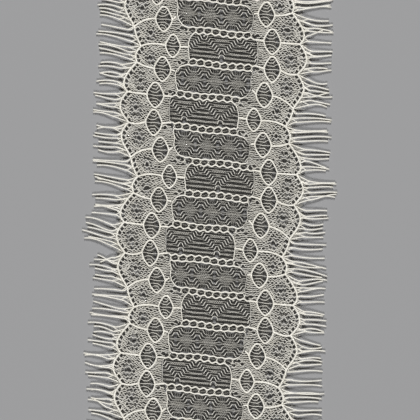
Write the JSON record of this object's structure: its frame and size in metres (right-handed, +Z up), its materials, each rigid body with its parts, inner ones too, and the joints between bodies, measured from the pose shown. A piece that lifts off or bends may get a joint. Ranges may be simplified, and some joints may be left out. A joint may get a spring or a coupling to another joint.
{
  "type": "eyelash lace trim",
  "caption": "Cut length of flat ivory lace trim with scalloped borders of corded eyes, braided rungs across a netted middle, and cut thread lashes along both edges; sewn on as edging.",
  "frame": {"origin": "on the table, under the middle of the trim's bounding box", "axes": "+Y along the trim, +X across it towards its right border, +Z up out of the lace's face"},
  "size_m": [0.1012, 0.19, 0.0015],
  "materials": {
    "ivory_thread": "soft warm white cotton thread, matt with a slight sheen on the cords"
  },
  "bodies": {
    "root": {"lace_band": "ivory_thread", "lash_fringe_left": "ivory_thread", "lash_fringe_right": "ivory_thread"}
  },
  "joints": []
}
